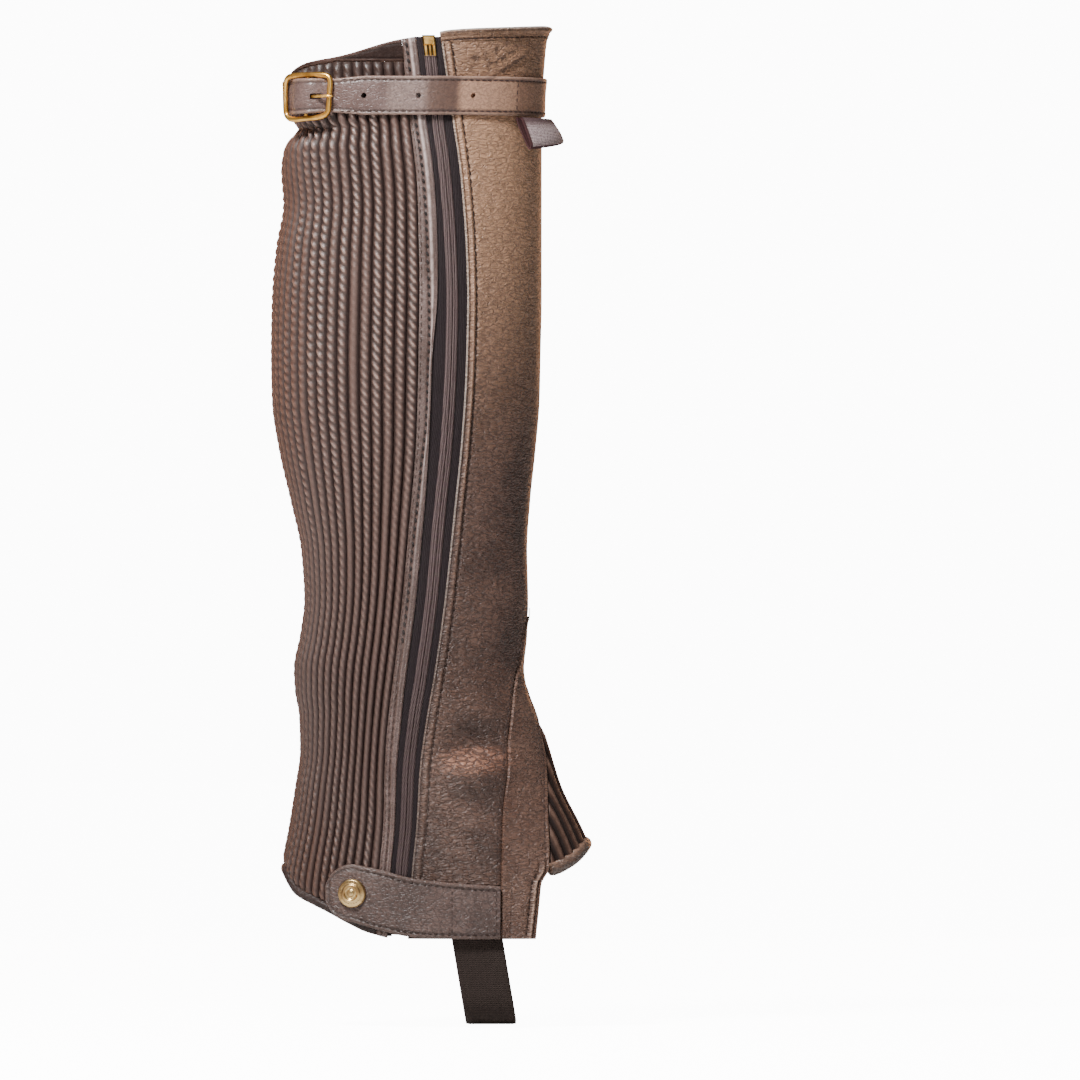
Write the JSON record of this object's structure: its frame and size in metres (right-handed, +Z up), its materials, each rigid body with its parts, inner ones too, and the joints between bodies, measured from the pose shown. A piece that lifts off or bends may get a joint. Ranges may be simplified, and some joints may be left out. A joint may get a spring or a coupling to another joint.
{
  "type": "half chap",
  "caption": "Leather half chap for the right leg in its worn form, with a ribbed calf panel, side zip, buckled top strap, ribbed instep gusset, snap tab and elastic under the foot.",
  "frame": {"origin": "middle of the ring that the top strap makes round the calf, where the wearer's leg holds the chap", "axes": "+Z up the leg, +X to the shin and toes, -Y to the outer side with the zip, +Y to the inner side"},
  "size_m": [0.1528, 0.1096, 0.4783],
  "materials": {
    "leather": "grained satin leather, dark brown with a tan bloom",
    "ribbed_leather": "elastic-gathered ribbed leather, satin",
    "strap_leather": "smooth satin strap leather",
    "binding_leather": "rolled leather binding",
    "zip_tape": "woven black tape",
    "zip_coil": "brown woven tape over a nylon coil",
    "elastic": "ribbed woven elastic, near black",
    "label": "woven ribbon, left bare",
    "brass": "polished brass",
    "snap_brass": "pale worn brass"
  },
  "bodies": {
    "root": {"leather_panel": "leather", "instep_panel": "leather", "instep_gusset": "ribbed_leather", "calf_panel": "ribbed_leather", "calf_top_band": "binding_leather", "zip_facing": "leather", "top_binding": "binding_leather", "calf_hem_binding": "binding_leather", "gusset_hem_binding": "binding_leather", "strap_billet": "strap_leather", "strap_chape": "strap_leather", "snap_tab": "strap_leather", "stirrup_elastic": "elastic", "label": "label", "zip_tape_front": "zip_tape", "zip_tape_rear": "zip_tape", "zip_coil": "zip_coil", "zip_box": "brass", "zip_slider": "brass", "buckle_frame": "brass", "buckle_prong": "brass", "snap_cap": "snap_brass"}
  },
  "joints": []
}
